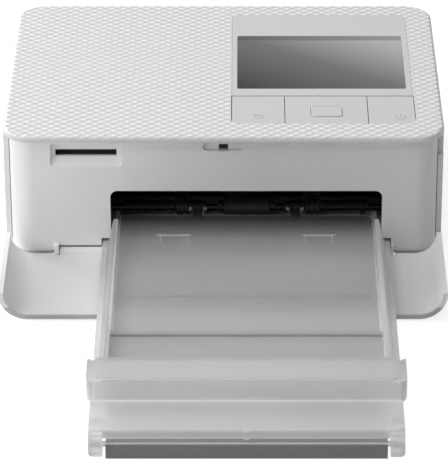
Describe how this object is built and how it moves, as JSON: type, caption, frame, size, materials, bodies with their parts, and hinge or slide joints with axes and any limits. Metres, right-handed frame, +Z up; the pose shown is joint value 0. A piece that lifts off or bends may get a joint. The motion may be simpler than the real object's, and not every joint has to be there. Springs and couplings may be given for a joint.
{
  "type": "compact photo printer",
  "caption": "Low white photo printer with a screen and keys on top, its front door lowered and a translucent paper cassette pushed into the front bay.",
  "frame": {"origin": "centre of the whole assembly's footprint, on the table", "axes": "+Z up, +Y towards the printer's back, +X to the right seen from the front"},
  "size_m": [0.1822, 0.2908, 0.0576],
  "materials": {
    "white_textured": "fine woven relief, satin",
    "white_casing": "fine satin",
    "white_panel": "smooth satin",
    "screen_gloss": "gloss",
    "screen_dark": "matt",
    "circuit_board": "solder mask",
    "black_plastic": "satin",
    "black_rubber": "matt",
    "grey_gear": "acetal",
    "steel": "bright",
    "black_steel": "blackened",
    "grey_plastic": "satin",
    "brass": "machined",
    "aluminium": "extruded",
    "ceramic": "glazed bar",
    "frosted_clear": "frosted, translucent",
    "ink_shell": "satin",
    "ink_film": "film",
    "cork": "fibre pad"
  },
  "bodies": {
    "casing": {"top_cover": "white_textured", "control_panel": "white_panel", "lcd_window": "screen_gloss", "lcd_module": "screen_dark", "panel_board": "circuit_board", "front_panel": "white_casing", "left_cover": "white_casing", "right_cover": "white_casing", "rear_cover": "white_casing", "base_plate": "black_plastic", "feet": "black_rubber", "base_screws": "steel", "card_socket": "steel", "latch_spring": "steel", "chassis_left": "black_plastic", "chassis_right": "black_plastic", "chassis_bars": "black_plastic", "tray_guides": "black_plastic", "feed_guide": "black_plastic", "gear_studs": "steel", "feed_motor": "steel", "motor_bracket": "steel", "main_board": "circuit_board", "dc_jack": "black_plastic", "usb_socket": "steel", "cooling_fan": "black_plastic", "head_shaft": "steel", "ink_cassette": "ink_shell", "ink_ribbon": "ink_film"},
    "menu_key_body": {"menu_key": "white_panel"},
    "nav_key_body": {"nav_key": "white_panel"},
    "ok_button_body": {"ok_button": "white_panel"},
    "power_key_body": {"power_key": "white_panel"},
    "front_door_body": {"front_door": "white_casing"},
    "ink_door_body": {"ink_door": "white_casing"},
    "pickup_body": {"pickup_shaft": "black_steel", "pickup_roller": "black_rubber", "guide_rollers": "black_rubber", "pickup_gear": "grey_gear"},
    "capstan_body": {"capstan_roller": "steel", "capstan_gear": "grey_gear"},
    "pinch_body": {"pinch_roller": "black_rubber"},
    "platen_body": {"platen_roller": "black_rubber"},
    "head_body": {"head_heatsink": "aluminium", "heater_bar": "ceramic", "head_arms": "steel"},
    "idler_body": {"idler_gear": "grey_gear"},
    "reduction_body": {"reduction_gear": "grey_gear"},
    "pinion_body": {"motor_pinion": "brass"},
    "takeup_body": {"takeup_gear": "grey_gear", "takeup_spool": "ink_film"},
    "supply_body": {"supply_spool": "ink_film"},
    "fan_body": {"fan_rotor": "black_plastic"},
    "cassette_body": {"cassette_base": "frosted_clear", "inner_lid": "frosted_clear", "lift_springs": "steel", "cover_pins": "steel"},
    "lift_plate_body": {"lift_plate": "grey_plastic", "separation_pad": "cork"},
    "outer_cover_body": {"outer_cover": "frosted_clear"}
  },
  "joints": [
    {"name": "menu_key_press", "type": "slide", "parent": "casing", "child": "menu_key_body", "axis": [0, 0, -1], "range_m": [0, 0.0005], "stiffness_N_per_m": 700},
    {"name": "nav_key_press", "type": "slide", "parent": "casing", "child": "nav_key_body", "axis": [0, 0, -1], "range_m": [0, 0.0005], "stiffness_N_per_m": 700},
    {"name": "power_key_press", "type": "slide", "parent": "casing", "child": "power_key_body", "axis": [0, 0, -1], "range_m": [0, 0.0005], "stiffness_N_per_m": 700},
    {"name": "ok_button_press", "type": "slide", "parent": "casing", "child": "ok_button_body", "axis": [0, 0, -1], "range_m": [0, 0.0005], "stiffness_N_per_m": 600},
    {"name": "front_door_hinge", "type": "hinge", "parent": "casing", "child": "front_door_body", "pos_m": [0, 0.01415, 0.0034], "axis": [-1, 0, 0], "range_deg": [0, 1.5]},
    {"name": "ink_door_hinge", "type": "hinge", "parent": "casing", "child": "ink_door_body", "pos_m": [0.0895, 0.10295, 0.03], "axis": [0, 0, 1], "range_deg": [0, 95]},
    {"name": "capstan_spin", "type": "hinge", "parent": "casing", "child": "capstan_body", "pos_m": [0.0094, 0.06095, 0.0146], "axis": [1, 0, 0], "continuous": true},
    {"name": "pickup_spin", "type": "hinge", "parent": "casing", "child": "pickup_body", "pos_m": [0.0094, 0.03355, 0.0146], "axis": [1, 0, 0], "continuous": true},
    {"name": "idler_spin", "type": "hinge", "parent": "casing", "child": "idler_body", "pos_m": [-0.056, 0.04675, 0.02499], "axis": [1, 0, 0], "continuous": true},
    {"name": "reduction_spin", "type": "hinge", "parent": "casing", "child": "reduction_body", "pos_m": [-0.056, 0.07215, 0.034], "axis": [1, 0, 0], "continuous": true},
    {"name": "pinion_spin", "type": "hinge", "parent": "casing", "child": "pinion_body", "pos_m": [-0.058, 0.08869, 0.04002], "axis": [1, 0, 0], "continuous": true},
    {"name": "takeup_spin", "type": "hinge", "parent": "casing", "child": "takeup_body", "pos_m": [0.0094, 0.05197, 0.03903], "axis": [1, 0, 0], "continuous": true},
    {"name": "pinch_spin", "type": "hinge", "parent": "casing", "child": "pinch_body", "pos_m": [0.0094, 0.06095, 0.0231], "axis": [1, 0, 0], "continuous": true},
    {"name": "platen_spin", "type": "hinge", "parent": "casing", "child": "platen_body", "pos_m": [0.0094, 0.08495, 0.0116], "axis": [1, 0, 0], "continuous": true},
    {"name": "supply_spin", "type": "hinge", "parent": "casing", "child": "supply_body", "pos_m": [0.0094, 0.11195, 0.0383], "axis": [1, 0, 0], "continuous": true},
    {"name": "head_lift", "type": "hinge", "parent": "casing", "child": "head_body", "pos_m": [0.0094, 0.09575, 0.03], "axis": [-1, 0, 0], "range_deg": [0, 6]},
    {"name": "fan_spin", "type": "hinge", "parent": "casing", "child": "fan_body", "pos_m": [-0.058, 0.13895, 0.038], "axis": [0, -1, 0], "continuous": true},
    {"name": "cassette_slide", "type": "slide", "parent": "casing", "child": "cassette_body", "axis": [0, -1, 0], "range_m": [0, 0.034]},
    {"name": "lift_plate_hinge", "type": "hinge", "parent": "cassette_body", "child": "lift_plate_body", "pos_m": [0.0094, -0.03405, 0.0092], "axis": [1, 0, 0], "range_deg": [0, 0.6]},
    {"name": "outer_cover_hinge", "type": "hinge", "parent": "cassette_body", "child": "outer_cover_body", "pos_m": [0.0094, -0.14055, 0.0055], "axis": [1, 0, 0], "range_deg": [0, 100]}
  ],
  "couplings": [
    {"joint": "pickup_spin", "follows": "capstan_spin", "ratio": 1.0909},
    {"joint": "idler_spin", "follows": "capstan_spin", "ratio": -1.2},
    {"joint": "reduction_spin", "follows": "capstan_spin", "ratio": -0.75},
    {"joint": "pinion_spin", "follows": "capstan_spin", "ratio": 2},
    {"joint": "takeup_spin", "follows": "capstan_spin", "ratio": 1.2}
  ]
}
